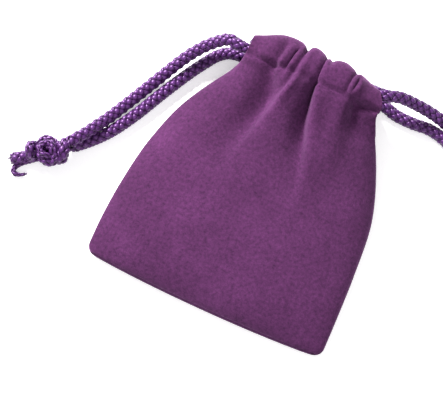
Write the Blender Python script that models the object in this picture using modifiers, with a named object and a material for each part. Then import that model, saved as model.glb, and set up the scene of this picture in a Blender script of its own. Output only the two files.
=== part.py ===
"""A velvet dice pouch lying flat on its back, its mouth half drawn up by two braided cords.

Frame: metres, +Z up. The origin is under the middle of the pouch, on the surface it lies on.
+Y points out of the mouth and +X to the right, looking down on the front.
"""

import math

import bmesh
import bpy
import numpy as np

MM = 0.001

# The pouch
HALF_WIDTH = 44.5 * MM  # half of the 3.5 inch flat width
HALF_LENGTH = 48.0 * MM  # bottom seam to mouth, drawn up, is twice this
CLOTH = 0.9 * MM
TOUCH = 0.3 * MM  # the gap left between pieces that touch
CROWN = 9.4 * MM  # the rise of the front over its rim, across the body
BOTTOM_ROUNDING = 30.0 * MM  # the length over which the front rises from the bottom seam
TAPER_START_Y = -20.0 * MM
TAPER_POWER = 2.1
NECK_HALF_WIDTH = 27.0 * MM
NECK_Y = 35.4 * MM  # where the panels end and the casings start
RIM_Z = 2.3 * MM  # the height of the front panel's edge, over the side stitching

# The two casings, which are tubes of cloth for the cords
CASING_WIDTH = 11.5 * MM
CASING_HEIGHT = 6.3 * MM
CASING_HALF_LENGTH = 25.5 * MM
CASING_WALL = 0.75 * MM
CASING_ROUNDING = 1.5 * MM
CASING_Y = HALF_LENGTH - CASING_WIDTH / 2
TOTAL_HEIGHT = 18.0 * MM
BACK_CASING_Z = CASING_HEIGHT / 2
FRONT_CASING_Z = TOTAL_HEIGHT - CASING_HEIGHT / 2
SIDE_SPLIT = 11.5 * MM  # how far the casings' facing walls stop short of each end

# Seams
ALLOWANCE_WIDTH = 5.0 * MM
ALLOWANCE_THICKNESS = 0.7 * MM
SEAM_INSET = 1.2 * MM
CORNER_INSET = 7.0 * MM  # the bottom seam's pieces stop this far from the corners
THREAD_RADIUS = 0.2 * MM
THREAD_Z = CLOTH + TOUCH + THREAD_RADIUS

# The cords
CORD_RADIUS = 2.0 * MM
CORD_SPACING = 4.7 * MM  # between the two cords that lie side by side in a casing
LEFT_CORD_Y = CASING_Y - CORD_SPACING / 2
RIGHT_CORD_Y = CASING_Y + CORD_SPACING / 2
PIVOT_X = CASING_HALF_LENGTH + 2.5 * MM  # where a cord swings, just out of the casing
CORD_POINT_SPACING = 7.0 * MM
KNOT_GAP = 0.9 * MM
KNOT_HALF_SIZES = (7.6 * MM, 5.5 * MM, 4.7 * MM)
KNOT_Z = 4.8 * MM

# The route of each cord from its exit into its knot, and of each tail from its cut end
# into the knot, in millimetres. A solid stops at the knot's surface.
LEFT_FRONT_ROUTE = (
    (-28.0, 39.9, 14.85),
    (-31.6, 40.6, 13.7),
    (-36.4, 38.2, 10.6),
    (-40.4, 34.6, 8.3),
    (-44.4, 29.4, 6.0),
    (-49.1, 21.0, 3.6),
    (-54.3, 10.5, 2.5),
    (-59.1, 0.1, 3.1),
    (-62.0, -6.2, 5.0),
    (-64.5, -11.2, 6.2),
    (-67.2, -15.4, 6.7),
    (-70.4, -18.9, 6.6),
)
LEFT_BACK_ROUTE = (
    (-28.0, 39.9, 3.15),
    (-31.4, 39.2, 2.4),
    (-34.5, 36.7, 2.2),
    (-37.3, 32.6, 2.2),
    (-41.2, 25.8, 2.2),
    (-46.4, 15.3, 2.2),
    (-51.4, 4.5, 2.2),
    (-56.5, -4.6, 2.2),
    (-61.4, -10.8, 2.2),
    (-66.4, -15.6, 2.2),
    (-70.4, -19.0, 2.6),
)
RIGHT_FRONT_ROUTE = (
    (28.0, 44.6, 14.85),
    (32.6, 46.6, 13.2),
    (38.3, 47.7, 9.9),
    (45.3, 48.0, 6.6),
    (52.4, 46.8, 4.2),
    (60.4, 43.2, 2.7),
    (68.6, 37.6, 2.3),
    (75.9, 30.4, 2.3),
    (82.6, 23.0, 2.7),
    (86.6, 16.6, 3.6),
    (88.4, 12.0, 4.4),
)
RIGHT_BACK_ROUTE = (
    (28.0, 44.6, 3.15),
    (33.3, 43.4, 2.3),
    (40.0, 43.2, 2.2),
    (47.0, 43.6, 2.2),
    (54.4, 41.6, 2.2),
    (61.8, 37.0, 2.2),
    (69.2, 30.8, 2.2),
    (75.8, 23.6, 2.2),
    (80.8, 16.4, 2.8),
    (85.0, 10.6, 4.4),
)
LEFT_KNOT_XY = (-73.2, -22.0)
LEFT_KNOT_HEADING = math.radians(25)
RIGHT_KNOT_XY = (87.4, 11.0)
RIGHT_KNOT_HEADING = math.radians(-62)
LEFT_STUB_TAIL = ((-85.2, -30.4, 2.2), (-82.4, -27.6, 2.6), (-78.0, -24.4, 4.2))
LEFT_FRAYED_TAIL = ((-78.9, -34.4, 2.2), (-77.3, -31.6, 2.4), (-75.6, -26.0, 4.2))
RIGHT_STUB_TAIL = ((94.4, -2.2, 2.2), (92.6, 1.2, 2.6), (90.0, 6.0, 4.2))
RIGHT_FRAYED_TAIL = ((84.2, -3.0, 2.2), (85.6, 0.6, 2.4), (87.4, 6.0, 4.2))

VELVET = (0.156, 0.048, 0.162)
CORD_PURPLE = (0.115, 0.040, 0.160)
THREAD_PURPLE = (0.110, 0.036, 0.118)


def clear_scene():
    for obj in list(bpy.data.objects):
        bpy.data.objects.remove(obj, do_unlink=True)


def new_collection(name):
    collection = bpy.data.collections.new(name)
    bpy.context.scene.collection.children.link(collection)
    return collection


def new_material(name, color, roughness):
    material = bpy.data.materials.new(name)
    material.use_nodes = True
    shader = material.node_tree.nodes["Principled BSDF"]
    shader.inputs["Base Color"].default_value = (*color, 1.0)
    shader.inputs["Roughness"].default_value = roughness
    shader.inputs["Metallic"].default_value = 0.0
    return material


def new_object(name, data, collection, parent=None):
    obj = bpy.data.objects.new(name, data)
    collection.objects.link(obj)
    if parent:
        obj.parent = parent
    return obj


def new_empty(name, location, collection, parent=None):
    """An empty on a joint's axis. Parents only move, so places simply add up."""
    empty = new_object(name, None, collection, parent)
    empty.empty_display_size = 5 * MM
    above = place_of(parent)
    empty.location = [location[i] - above[i] for i in range(3)]
    return empty


def place_of(obj):
    place = np.zeros(3)
    while obj:
        place += obj.location
        obj = obj.parent
    return place


def smooth_step(x):
    t = min(max(x, 0.0), 1.0)
    return t * t * (3 - 2 * t)


def half_width(y):
    """Half of the pouch's width at y: straight sides that draw in towards the mouth."""
    t = max(0.0, (y - TAPER_START_Y) / (NECK_Y - TAPER_START_Y))
    return HALF_WIDTH - (HALF_WIDTH - NECK_HALF_WIDTH) * t**TAPER_POWER


def front_height(y):
    """The rise of the front over its rim on the centre line."""
    t = min(1.0, (y + HALF_LENGTH) / BOTTOM_ROUNDING)
    body = CROWN * math.sqrt(max(0.0, 1 - (1 - t) ** 2))
    return body + (TOTAL_HEIGHT - RIM_Z - CROWN) * smooth_step(y / NECK_Y)


def sheet(name, columns, rows, place, thickness, offset, material, collection):
    """A grid bent by place(u, v), both from -1 to 1, and given its thickness."""
    grid = bmesh.new()
    bmesh.ops.create_grid(grid, x_segments=columns, y_segments=rows, size=1.0)
    for vertex in grid.verts:
        vertex.co = place(vertex.co.x, vertex.co.y)
    mesh = bpy.data.meshes.new(name)
    grid.to_mesh(mesh)
    grid.free()
    mesh.materials.append(material)
    obj = new_object(name, mesh, collection)
    solidify = obj.modifiers.new("thickness", "SOLIDIFY")
    solidify.thickness = thickness
    solidify.offset = offset
    mesh.shade_smooth()
    return obj


def front_panel(material, collection):
    """The domed front: an ellipse across, squarer at the neck where it meets the casing."""

    def place(u, v):
        y = -HALF_LENGTH + (NECK_Y + HALF_LENGTH) * ((v + 1) / 2) ** 1.4
        turn = u * math.pi / 2
        squareness = 1 - 0.5 * smooth_step(y / NECK_Y)
        rise = max(0.0, math.cos(turn)) ** squareness
        return (half_width(y) * math.sin(turn), y, RIM_Z + front_height(y) * rise)

    sheet("front_panel", 24, 20, place, CLOTH, -1, material, collection)


def back_panel(material, collection):
    """The flat back that the pouch lies on."""

    def place(u, v):
        y = -HALF_LENGTH + (NECK_Y + HALF_LENGTH) * (v + 1) / 2
        return (half_width(y) * u, y, 0.0)

    sheet("back_panel", 6, 16, place, CLOTH, 1, material, collection)


def side_allowance(name, side, material, collection):
    """The turned-in edges of both panels, a strip just inside the side seam."""
    start = -HALF_LENGTH + SEAM_INSET + ALLOWANCE_WIDTH + 2 * TOUCH

    def place(u, v):
        y = start + (NECK_Y - TOUCH - start) * (v + 1) / 2
        inset = SEAM_INSET + ALLOWANCE_WIDTH * (1 - side * u) / 2
        return (side * (half_width(y) - inset), y, CLOTH + TOUCH)

    sheet(name, 1, 12, place, ALLOWANCE_THICKNESS, 1, material, collection)


def bottom_allowance(material, collection):
    def place(u, v):
        y = -HALF_LENGTH + SEAM_INSET + ALLOWANCE_WIDTH * (v + 1) / 2
        return ((HALF_WIDTH - CORNER_INSET) * u, y, CLOTH + TOUCH)

    sheet(
        "bottom_seam_allowance", 4, 1, place, ALLOWANCE_THICKNESS, 1, material, collection
    )


def bar_mesh(name, size, rounding, centre=(0, 0, 0)):
    """A box of the given size along X, Y and Z, with its long edges rounded."""
    box = bmesh.new()
    bmesh.ops.create_cube(box, size=1.0)
    for vertex in box.verts:
        vertex.co = [vertex.co[i] * size[i] + centre[i] for i in range(3)]
    if rounding:
        along_x = [e for e in box.edges if abs(e.verts[0].co.x - e.verts[1].co.x) > TOUCH]
        bmesh.ops.bevel(
            box, geom=along_x, offset=rounding, segments=3, profile=0.5, affect="EDGES"
        )
    mesh = bpy.data.meshes.new(name)
    box.to_mesh(mesh)
    box.free()
    return mesh


def cut(obj, mesh, cutters):
    """Cuts the mesh out of the object."""
    cutter = new_object(mesh.name, mesh, cutters)
    cutter.location = obj.location
    cutter.hide_render = True
    cutter.display_type = "WIRE"
    boolean = obj.modifiers.new(mesh.name, "BOOLEAN")
    boolean.operation = "DIFFERENCE"
    boolean.solver = "EXACT"
    boolean.object = cutter


def casing(name, z, facing, material, collection, cutters):
    """A flat tube of cloth along X, whose facing wall is open near both ends."""
    length = 2 * CASING_HALF_LENGTH
    tube_mesh = bar_mesh(name, (length, CASING_WIDTH, CASING_HEIGHT), CASING_ROUNDING)
    tube_mesh.materials.append(material)
    obj = new_object(name, tube_mesh, collection)
    obj.location = (0, CASING_Y, z)
    channel = (
        length + 4 * MM,
        CASING_WIDTH - 2 * CASING_WALL,
        CASING_HEIGHT - 2 * CASING_WALL,
    )
    channel_mesh = bar_mesh(name + "_channel", channel, CASING_ROUNDING - 0.6 * MM)
    cut(obj, channel_mesh, cutters)
    for side in (-1, 1):
        split = (SIDE_SPLIT * 2, channel[1] - TOUCH, CASING_HEIGHT / 2)
        centre = (side * CASING_HALF_LENGTH, 0, facing * CASING_HEIGHT / 2)
        cut(obj, bar_mesh(name + "_split", split, 0, centre), cutters)


def smooth_route(route, spacing, knot):
    """Points at even spacing along a smooth curve through the route, up to the knot."""
    keys = np.array(route, float) * MM
    ends = [2 * keys[0] - keys[1], *keys, 2 * keys[-1] - keys[-2]]
    fine = []
    for a, b, c, d in zip(ends, ends[1:], ends[2:], ends[3:]):
        for t in np.linspace(0, 1, 16, endpoint=False):
            bend = (2 * a - 5 * b + 4 * c - d) * t**2 + (3 * b - a - 3 * c + d) * t**3
            fine.append(b + ((c - a) * t + bend) / 2)
    fine = np.array([p for p in fine if not near_knot(p, knot)])
    along = np.concatenate([[0], np.cumsum(np.linalg.norm(np.diff(fine, axis=0), axis=1))])
    at = np.linspace(0, along[-1], max(3, round(along[-1] / spacing) + 1))
    return np.stack([np.interp(at, along, fine[:, k]) for k in range(3)], axis=1)


def tube(name, points, radius, material, collection, parent=None, radii=None, sides=2):
    """A round bar along the points. radii are shares of the radius, one for each point."""
    curve = bpy.data.curves.new(name, "CURVE")
    curve.dimensions = "3D"
    curve.bevel_depth = radius
    curve.bevel_resolution = sides
    curve.use_fill_caps = True
    curve.render_resolution_u = 0
    curve.materials.append(material)
    spline = curve.splines.new("POLY")
    spline.points.add(len(points) - 1)
    base = place_of(parent)
    for i, point in enumerate(points):
        spline.points[i].co = (*(np.array(point) - base), 1.0)
        spline.points[i].radius = radii[i] if radii else 1.0
    return new_object(name, curve, collection, parent)


def strand(name, route, knot, material, collection, parent):
    """The free length of a cord: its end at the exit is round, so that it can swing."""
    points = smooth_route(route, CORD_POINT_SPACING, knot)
    first = points[0]
    back = first - points[1]
    back /= np.linalg.norm(back)
    angles = [math.radians(a) for a in (86, 60, 30)]
    cap = [first + back * CORD_RADIUS * math.sin(a) for a in angles]
    radii = [math.cos(a) for a in angles] + [1.0] * len(points)
    tube(name, [*cap, *points], CORD_RADIUS, material, collection, parent, radii)


def near_knot(point, knot):
    """Whether a cord's end here would reach the knot's outer shape."""
    (x, y), heading = knot
    dx = point[0] - x * MM
    dy = point[1] - y * MM
    along = dx * math.cos(heading) + dy * math.sin(heading)
    across = dy * math.cos(heading) - dx * math.sin(heading)
    offsets = (along, across, point[2] - KNOT_Z)
    shares = [o / (h + KNOT_GAP) for o, h in zip(offsets, KNOT_HALF_SIZES)]
    return sum(s * s for s in shares) < 1


def knot_solid(name, knot, material, collection, parent):
    """The outer shape of two strands tied together: a fat middle and a bulge at each end."""
    (x, y), heading = knot
    ball = bmesh.new()
    bmesh.ops.create_uvsphere(ball, u_segments=16, v_segments=10, radius=1.0)
    for vertex in ball.verts:
        # the sphere's poles lie along the cord
        along, across, up = vertex.co.z, vertex.co.x, vertex.co.y
        waist = 1 - 0.1 * math.sin(math.pi * abs(along)) ** 2
        local = (along, across * waist, up * waist)
        sized = [local[i] * KNOT_HALF_SIZES[i] for i in range(3)]
        vertex.co = (
            sized[0] * math.cos(heading) - sized[1] * math.sin(heading),
            sized[0] * math.sin(heading) + sized[1] * math.cos(heading),
            sized[2],
        )
    mesh = bpy.data.meshes.new(name)
    ball.to_mesh(mesh)
    ball.free()
    mesh.materials.append(material)
    mesh.shade_smooth()
    obj = new_object(name, mesh, collection, parent)
    obj.location = np.array([x * MM, y * MM, KNOT_Z]) - place_of(parent)


def casing_run(name, side, y, z, material, collection, parent):
    """The part of a cord that slides in its casing, from the middle to the exit."""
    start = TOUCH / 2
    end = PIVOT_X - CORD_RADIUS - TOUCH
    points = [(side * x, y, z) for x in (start, end)]
    tube(name, points, CORD_RADIUS, material, collection, parent)


def return_loop(name, side, y, material, collection):
    """The far half of a cord: along the front casing, round its end and back behind."""
    radius = (FRONT_CASING_Z - BACK_CASING_Z) / 2
    middle_z = (FRONT_CASING_Z + BACK_CASING_Z) / 2
    centre_x = CASING_HALF_LENGTH - CORD_RADIUS - TOUCH - radius
    turns = [math.radians(90 - 180 * i / 10) for i in range(11)]
    bend = [
        (side * (centre_x + radius * math.cos(a)), y, middle_z + radius * math.sin(a))
        for a in turns
    ]
    start = (side * TOUCH / 2, y, FRONT_CASING_Z)
    end = (side * TOUCH / 2, y, BACK_CASING_Z)
    tube(name, [start, *bend, end], CORD_RADIUS, material, collection)


def drawstring(name, side, y, routes, knot, tails, materials, collection):
    """One cord: its return loop in the pouch, its sliding runs, and what hangs outside."""
    cord = materials["cord"]
    pivot = (side * PIVOT_X, y, BACK_CASING_Z)
    pull = new_empty(name + "_pull", pivot, collection)
    swing = new_empty(name + "_swing", pivot, collection, pull)
    for layer, z, route in zip(("front", "back"), (FRONT_CASING_Z, BACK_CASING_Z), routes):
        casing_run(f"{name}_{layer}_cord_run", side, y, z, cord, collection, pull)
        strand(f"{name}_{layer}_strand", route, knot, cord, collection, swing)
    knot_solid(name + "_knot", knot, cord, collection, swing)
    for kind, route in zip(("stub", "frayed"), tails):
        points = smooth_route(route, CORD_RADIUS, knot)
        tube(f"{name}_{kind}_tail", points, CORD_RADIUS, cord, collection, swing)
    return_loop(name + "_cord_return_loop", -side, y, cord, collection)


def thread(name, points, material, collection):
    tube(name, points, THREAD_RADIUS, material, collection, sides=0)


def stitching(material, collection):
    """One sewing thread for each seam, in the groove between the pieces that it joins."""
    inset = 2 * THREAD_RADIUS
    low = -HALF_LENGTH + CORNER_INSET / 2
    ys = np.linspace(low, NECK_Y - TOUCH, 16)
    for name, side in (("left_side_stitching", -1), ("right_side_stitching", 1)):
        points = [(side * (half_width(y) - inset), y, THREAD_Z) for y in ys]
        thread(name, points, material, collection)
    reach = HALF_WIDTH - CORNER_INSET / 2
    xs = np.linspace(-reach, reach, 5)
    points = [(x, -HALF_LENGTH + inset, THREAD_Z) for x in xs]
    thread("bottom_stitching", points, material, collection)
    y = (NECK_Y + HALF_LENGTH - CASING_WIDTH) / 2
    across = np.linspace(-CASING_HALF_LENGTH + 5 * MM, CASING_HALF_LENGTH - 5 * MM, 5)
    for name, z in (
        ("front_casing_stitching", TOTAL_HEIGHT - CLOTH / 2),
        ("back_casing_stitching", CLOTH / 2),
    ):
        thread(name, [(x, y, z) for x in across], material, collection)


def build():
    clear_scene()
    parts = new_collection("drawstring_dice_bag")
    cutters = new_collection("cutters")
    materials = {
        "velvet": new_material("velvet", VELVET, 0.9),
        "cord": new_material("cord", CORD_PURPLE, 0.4),
        "thread": new_material("thread", THREAD_PURPLE, 0.6),
    }
    velvet = materials["velvet"]
    front_panel(velvet, parts)
    back_panel(velvet, parts)
    casing("front_casing", FRONT_CASING_Z, -1, velvet, parts, cutters)
    casing("back_casing", BACK_CASING_Z, 1, velvet, parts, cutters)
    side_allowance("left_seam_allowance", -1, velvet, parts)
    side_allowance("right_seam_allowance", 1, velvet, parts)
    bottom_allowance(velvet, parts)
    stitching(materials["thread"], parts)
    drawstring(
        "left",
        -1,
        LEFT_CORD_Y,
        (LEFT_FRONT_ROUTE, LEFT_BACK_ROUTE),
        (LEFT_KNOT_XY, LEFT_KNOT_HEADING),
        (LEFT_STUB_TAIL, LEFT_FRAYED_TAIL),
        materials,
        parts,
    )
    drawstring(
        "right",
        1,
        RIGHT_CORD_Y,
        (RIGHT_FRONT_ROUTE, RIGHT_BACK_ROUTE),
        (RIGHT_KNOT_XY, RIGHT_KNOT_HEADING),
        (RIGHT_STUB_TAIL, RIGHT_FRAYED_TAIL),
        materials,
        parts,
    )


build()
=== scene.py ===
"""The looks of a velvet dice pouch with two braided drawstrings, built round its CAD frame.

Everything lies in the frame's own axes: +Y out of the mouth, +X right, +Z up. Pieces are made
in metres. The cords' routes, the knots' paths and the velvet's tables are in millimetres.
"""

import math

import bpy
import numpy as np
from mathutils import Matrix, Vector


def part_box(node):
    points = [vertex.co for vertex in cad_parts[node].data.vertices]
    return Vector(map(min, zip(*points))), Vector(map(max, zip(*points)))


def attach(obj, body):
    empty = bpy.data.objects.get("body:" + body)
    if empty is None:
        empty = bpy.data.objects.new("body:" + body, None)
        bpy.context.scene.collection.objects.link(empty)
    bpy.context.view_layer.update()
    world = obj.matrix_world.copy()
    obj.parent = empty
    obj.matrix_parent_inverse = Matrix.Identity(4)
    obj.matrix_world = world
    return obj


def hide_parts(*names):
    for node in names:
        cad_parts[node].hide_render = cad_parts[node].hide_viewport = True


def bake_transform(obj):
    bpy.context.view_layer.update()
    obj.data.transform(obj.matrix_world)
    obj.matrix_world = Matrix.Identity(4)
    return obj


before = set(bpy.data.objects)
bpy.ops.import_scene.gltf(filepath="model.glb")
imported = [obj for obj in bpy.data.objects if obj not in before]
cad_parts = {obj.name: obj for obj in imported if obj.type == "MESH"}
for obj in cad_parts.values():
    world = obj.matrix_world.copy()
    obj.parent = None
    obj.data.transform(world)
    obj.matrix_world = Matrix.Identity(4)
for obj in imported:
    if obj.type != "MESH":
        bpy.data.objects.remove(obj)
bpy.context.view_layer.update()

MM = 0.001
RNG = np.random.default_rng(7)


# ---------------------------------------------------------------- camera, light and floor

VIEW_AZIMUTH = math.radians(25)
VIEW_ELEVATION = math.radians(75)
VIEW_TARGET = (-9.8 * MM, -12.5 * MM, 5.0 * MM)
VIEW_DISTANCE = 0.70
LENS_MM = 161.0
WORLD_STRENGTH = 0.42
FLOOR_DROP = 0.02 * MM  # keeps the floor's plane off the cloth that rests on it


def add_camera():
    back = (
        math.sin(VIEW_AZIMUTH) * math.cos(VIEW_ELEVATION),
        -math.cos(VIEW_AZIMUTH) * math.cos(VIEW_ELEVATION),
        math.sin(VIEW_ELEVATION),
    )
    data = bpy.data.cameras.new("camera")
    data.lens = LENS_MM
    data.clip_start = 0.01
    camera = bpy.data.objects.new("camera", data)
    camera.location = [VIEW_TARGET[i] + VIEW_DISTANCE * back[i] for i in range(3)]
    camera.rotation_euler = (math.pi / 2 - VIEW_ELEVATION, 0, VIEW_AZIMUTH)
    bpy.context.scene.collection.objects.link(camera)
    bpy.context.scene.camera = camera


def add_area_light(name, location, size, power, color=(1, 1, 1)):
    """A square soft box that points at the frame's origin."""
    data = bpy.data.lights.new(name, "AREA")
    data.size = size
    data.energy = power
    data.color = color
    light = bpy.data.objects.new(name, data)
    light.location = location
    direction = np.array(location, float)
    direction /= np.linalg.norm(direction)
    tilt = math.acos(direction[2])
    turn = math.atan2(direction[1], direction[0])
    light.rotation_euler = (0, tilt, turn)
    bpy.context.scene.collection.objects.link(light)


def add_studio():
    add_area_light("key", (-0.66, 0.36, 0.56), size=0.30, power=25.2, color=(1.0, 0.985, 0.97))
    add_area_light("fill", (0.50, -0.40, 0.80), size=0.9, power=4.5)
    world = bpy.data.worlds.new("studio")
    world.use_nodes = True
    background = world.node_tree.nodes["Background"]
    background.inputs["Color"].default_value = (1, 1, 1, 1)
    background.inputs["Strength"].default_value = WORLD_STRENGTH
    bpy.context.scene.world = world
    bpy.context.scene.view_settings.view_transform = "Standard"


def add_floor():
    bpy.ops.mesh.primitive_plane_add(size=6.0, location=(0, 0, -FLOOR_DROP))
    floor = bpy.context.object
    floor.name = "floor"
    material, shader = principled("floor_white", (0.93, 0.93, 0.93), 0.9)
    shader.inputs["Specular IOR Level"].default_value = 0.1
    shader.inputs["Emission Color"].default_value = (1, 1, 1, 1)
    shader.inputs["Emission Strength"].default_value = 0.45
    floor.data.materials.append(material)


# ---------------------------------------------------------------- materials


def principled(name, color, roughness):
    material = bpy.data.materials.new(name)
    material.use_nodes = True
    shader = material.node_tree.nodes["Principled BSDF"]
    shader.inputs["Base Color"].default_value = (*color, 1)
    shader.inputs["Roughness"].default_value = roughness
    return material, shader


def add_node(tree, kind, **values):
    """A node with its properties and, by name, its inputs set."""
    node = tree.nodes.new(kind)
    for key, value in values.items():
        if key in node.inputs:
            node.inputs[key].default_value = value
        else:
            setattr(node, key, value)
    return node


def noise(tree, coordinates, scale, detail=2.0, roughness=0.5):
    node = add_node(tree, "ShaderNodeTexNoise", Scale=scale, Detail=detail, Roughness=roughness)
    tree.links.new(coordinates, node.inputs["Vector"])
    return node.outputs["Fac"]


def ramp(tree, value, stops):
    """A colour ramp: stops are (position, (r, g, b))."""
    node = tree.nodes.new("ShaderNodeValToRGB")
    elements = node.color_ramp.elements
    while len(elements) < len(stops):
        elements.new(0.5)
    for element, (position, color) in zip(elements, stops):
        element.position = position
        element.color = (*color, 1)
    tree.links.new(value, node.inputs["Fac"])
    return node.outputs["Color"]


def multiply(tree, a, b):
    """One colour times another. A mix node's sockets 6, 7 and 2 are those of colours."""
    node = add_node(tree, "ShaderNodeMix", data_type="RGBA", blend_type="MULTIPLY")
    node.inputs[0].default_value = 1.0
    tree.links.new(a, node.inputs[6])
    tree.links.new(b, node.inputs[7])
    return node.outputs[2]


def bump(tree, height, strength, distance, normal=None):
    node = add_node(tree, "ShaderNodeBump", Strength=strength, Distance=distance)
    tree.links.new(height, node.inputs["Height"])
    if normal:
        tree.links.new(normal, node.inputs["Normal"])
    return node.outputs["Normal"]


def velvet_material(name, low, high, sheen):
    """Short cotton velour: cloudy pile, fine granular mottling and a soft sheen at the turns."""
    middle = tuple((a + b) / 2 for a, b in zip(low, high))
    material, shader = principled(name, middle, 0.92)
    tree = material.node_tree
    place = tree.nodes.new("ShaderNodeTexCoord").outputs["Object"]
    clouds = noise(tree, place, 70.0, 3.0)
    grain = noise(tree, place, 900.0, 3.0, 0.7)
    pile = noise(tree, place, 3200.0, 2.0, 0.6)
    base = ramp(tree, clouds, ((0.30, low), (0.70, high)))
    speckle = ramp(tree, grain, ((0.25, (0.55, 0.55, 0.57)), (0.75, (1.42, 1.42, 1.38))))
    color = multiply(tree, base, speckle)
    dark_pile = ramp(tree, pile, ((0.30, (0.80, 0.80, 0.80)), (0.60, (1.0, 1.0, 1.0))))
    color = multiply(tree, color, dark_pile)
    tree.links.new(color, shader.inputs["Base Color"])
    normal = bump(tree, grain, 0.5, 0.3 * MM)
    normal = bump(tree, pile, 0.5, 0.12 * MM, normal)
    tree.links.new(normal, shader.inputs["Normal"])
    shader.inputs["Specular IOR Level"].default_value = 0.12
    shader.inputs["Sheen Weight"].default_value = sheen
    shader.inputs["Sheen Roughness"].default_value = 0.45
    shader.inputs["Sheen Tint"].default_value = (0.80, 0.42, 0.84, 1)
    return material


def satin_material(name, low, high, roughness, gloss):
    """Shiny rayon yarn: fine filaments along each strand, with shade painted where strands dive
    under.
    """
    middle = tuple((a + b) / 2 for a, b in zip(low, high))
    material, shader = principled(name, middle, roughness)
    tree = material.node_tree
    uv = tree.nodes.new("ShaderNodeTexCoord").outputs["UV"]
    stretch = add_node(tree, "ShaderNodeMapping")
    stretch.inputs["Scale"].default_value = (34.0, 1.2, 1.0)
    tree.links.new(uv, stretch.inputs["Vector"])
    filaments = noise(tree, stretch.outputs["Vector"], 1.0, 2.0)
    # painted shade: the 'lift' attribute darkens the colour where a yarn dives under, on its inner
    # face and on the core
    painted_shade_by_lift = add_node(tree, "ShaderNodeAttribute", attribute_name="lift").outputs["Fac"]
    base = ramp(tree, painted_shade_by_lift, ((0.05, tuple(0.2 * c for c in low)), (0.55, low), (0.95, high)))
    streaks = ramp(tree, filaments, ((0.35, (0.70, 0.70, 0.72)), (0.65, (1.2, 1.2, 1.2))))
    color = multiply(tree, base, streaks)
    tree.links.new(color, shader.inputs["Base Color"])
    tree.links.new(bump(tree, filaments, 0.5, 0.06 * MM), shader.inputs["Normal"])
    shader.inputs["Specular IOR Level"].default_value = gloss
    shader.inputs["Specular Tint"].default_value = (0.78, 0.44, 0.95, 1)
    return material


# ---------------------------------------------------------------- shapes and curves


def mesh_object(name, vertices, faces, material, uvs=None, attributes=None):
    mesh = bpy.data.meshes.new(name)
    mesh.from_pydata([tuple(v) for v in vertices], [], faces)
    mesh.update()
    if uvs is not None:
        layer = mesh.uv_layers.new(name="UVMap")
        corner_vertex = np.empty(len(mesh.loops), int)
        mesh.loops.foreach_get("vertex_index", corner_vertex)
        layer.data.foreach_set("uv", np.asarray(uvs, np.float32)[corner_vertex].ravel())
    for key, values in (attributes or {}).items():
        attribute = mesh.attributes.new(key, "FLOAT", "POINT")
        attribute.data.foreach_set("value", np.asarray(values, np.float32))
    mesh.materials.append(material)
    mesh.shade_smooth()
    obj = bpy.data.objects.new(name, mesh)
    bpy.context.scene.collection.objects.link(obj)
    return obj


def distances_along(points):
    """How far along the path each point is."""
    return np.concatenate([[0], np.cumsum(np.linalg.norm(np.diff(points, axis=0), axis=1))])


def smooth_curve(knots, step):
    """Points step apart along a smooth curve through the knots, in the knots' unit."""
    keys = np.array(knots, float)
    ends = [2 * keys[0] - keys[1], *keys, 2 * keys[-1] - keys[-2]]
    fine = []
    for a, b, c, d in zip(ends, ends[1:], ends[2:], ends[3:]):
        for t in np.linspace(0, 1, 24, endpoint=False):
            bend = (2 * a - 5 * b + 4 * c - d) * t**2 + (3 * b - a - 3 * c + d) * t**3
            fine.append(b + ((c - a) * t + bend) / 2)
    fine.append(keys[-1])
    fine = np.array(fine)
    along = distances_along(fine)
    at = np.linspace(0, along[-1], max(4, round(along[-1] / step) + 1))
    return np.stack([np.interp(at, along, fine[:, k]) for k in range(3)], axis=1)


def length_of(points):
    return float(np.linalg.norm(np.diff(points, axis=0), axis=1).sum())


def between(y, pairs):
    """A smooth curve of value against y through the (y, value) pairs, flat past its ends."""
    ys, values = (np.array(c, float) for c in zip(*sorted(pairs)))
    slopes = np.gradient(values, ys) if len(ys) > 2 else np.zeros(len(ys))
    slopes[0] = slopes[-1] = 0
    y = np.clip(y, ys[0], ys[-1])
    i = np.clip(np.searchsorted(ys, y) - 1, 0, len(ys) - 2)
    gap = ys[i + 1] - ys[i]
    t = (y - ys[i]) / gap
    a = 2 * t**3 - 3 * t**2 + 1
    b = (t**3 - 2 * t**2 + t) * gap
    c = 3 * t**2 - 2 * t**3
    d = (t**3 - t**2) * gap
    return a * values[i] + b * slopes[i] + c * values[i + 1] + d * slopes[i + 1]


def smooth_step(x, low, high):
    t = np.clip((x - low) / (high - low), 0, 1)
    return t * t * (3 - 2 * t)


def side_frames(points):
    """Two unit vectors across the path at each point, turning as little as they can."""
    tangents = np.gradient(points, axis=0)
    tangents /= np.linalg.norm(tangents, axis=1)[:, None]
    guess = np.array([0.0, 0.0, 1.0])
    if abs(tangents[0][2]) > 0.9:
        guess = np.array([0.0, 1.0, 0.0])
    first = []
    for tangent in tangents:
        guess = guess - tangent * (guess @ tangent)
        guess = guess / np.linalg.norm(guess)
        first.append(guess)
    first = np.array(first)
    return first, np.cross(tangents, first)


def ring_angles(count):
    """Angles all the way round a ring, in radians."""
    return np.linspace(0, 2 * math.pi, count, endpoint=False)


def round_rings(points, frames, radii, around):
    """A ring of points at the angles around each point, one radius for each."""
    first, second = frames
    return points[:, None] + radii[:, None, None] * (
        np.cos(around)[None, :, None] * first[:, None]
        + np.sin(around)[None, :, None] * second[:, None]
    )


def grid_uvs(along, around):
    """The uv pair of each point of a tube, from its place along and around."""
    return np.stack(np.meshgrid(along, around, indexing="ij"), axis=-1)


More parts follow.
